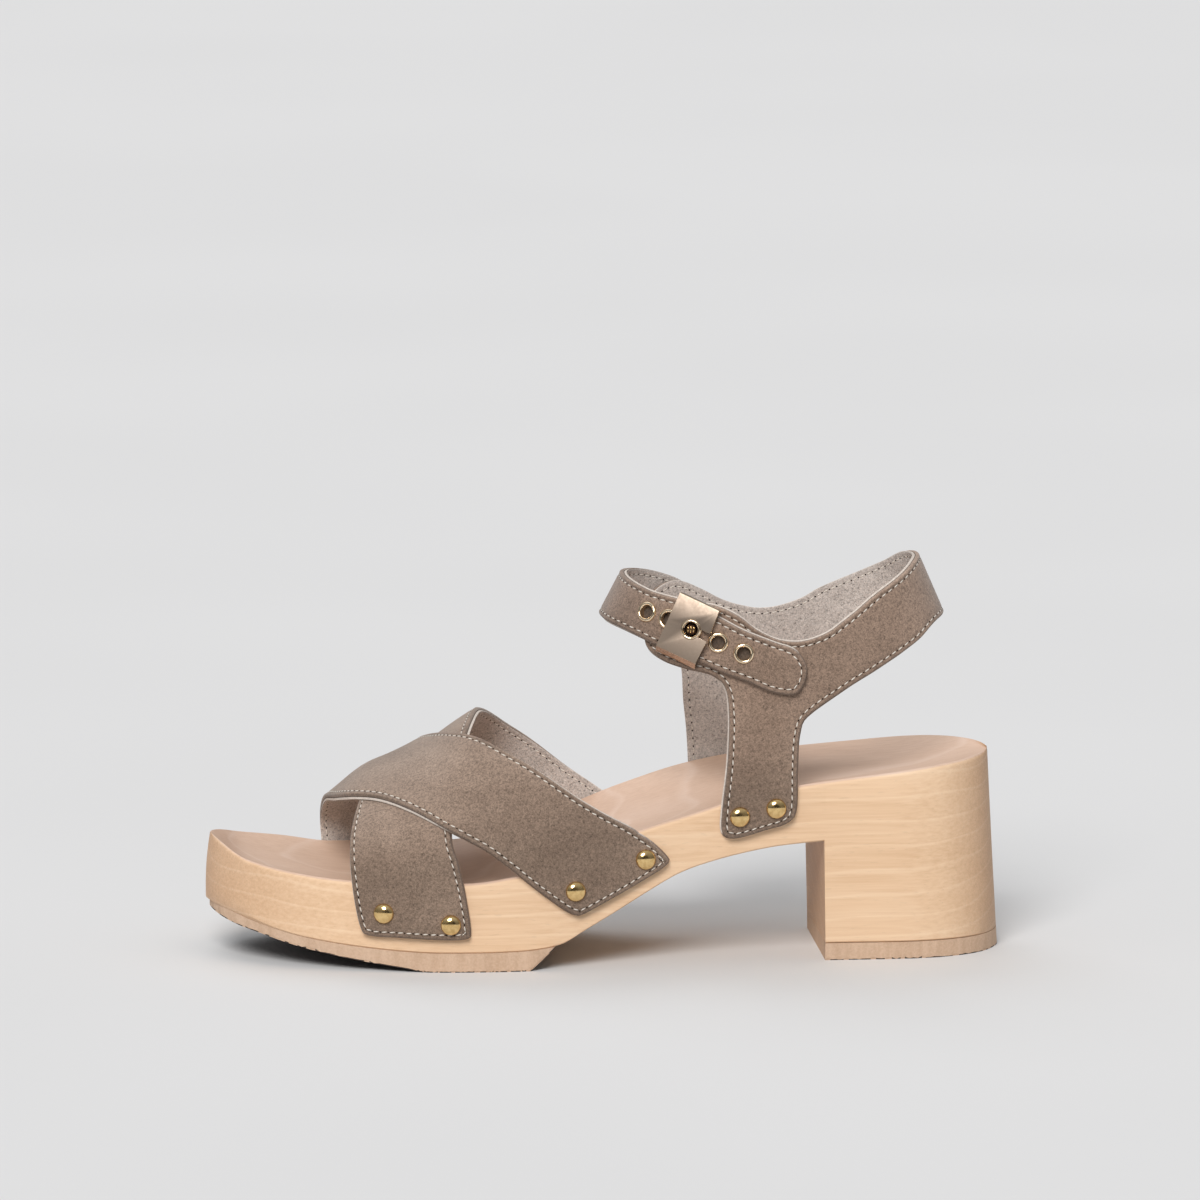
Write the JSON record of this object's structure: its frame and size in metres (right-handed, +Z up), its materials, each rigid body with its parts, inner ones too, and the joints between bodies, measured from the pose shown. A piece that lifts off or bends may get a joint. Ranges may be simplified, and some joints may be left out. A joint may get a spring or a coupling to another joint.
{
  "type": "wooden sole sandal",
  "caption": "Left sandal with a carved wooden block sole, crossed suede straps over the forefoot and a buckled ankle strap.",
  "frame": {"origin": "under the middle of the shoe's box, on the floor that heel and forefoot stand on", "axes": "+X from the toe to the heel, +Y to the inner side of the foot, +Z up"},
  "size_m": [0.2448, 0.093, 0.123],
  "materials": {
    "wood": "smooth pale wood, thin matt lacquer",
    "rubber": "matt beige rubber, trimmed edge",
    "suede": "grey-brown suede with a pale flesh side",
    "brass": "polished domed tacks",
    "pale_gold": "polished pale gold"
  },
  "bodies": {
    "root": {"wood_sole": "wood", "outsole_forefoot": "rubber", "heel_lift": "rubber", "vamp_straps": "suede", "ankle_quarter": "suede", "buckle_strap": "suede", "tack_01": "brass", "tack_02": "brass", "tack_03": "brass", "tack_04": "brass", "tack_05": "brass", "tack_06": "brass", "tack_07": "brass", "tack_08": "brass", "tack_09": "brass", "tack_10": "brass", "tack_11": "brass", "tack_12": "brass", "eyelet_1": "pale_gold", "eyelet_2": "pale_gold", "eyelet_3": "pale_gold", "eyelet_4": "pale_gold", "eyelet_5": "pale_gold", "buckle_plate": "pale_gold", "buckle_prong": "brass"}
  },
  "joints": []
}
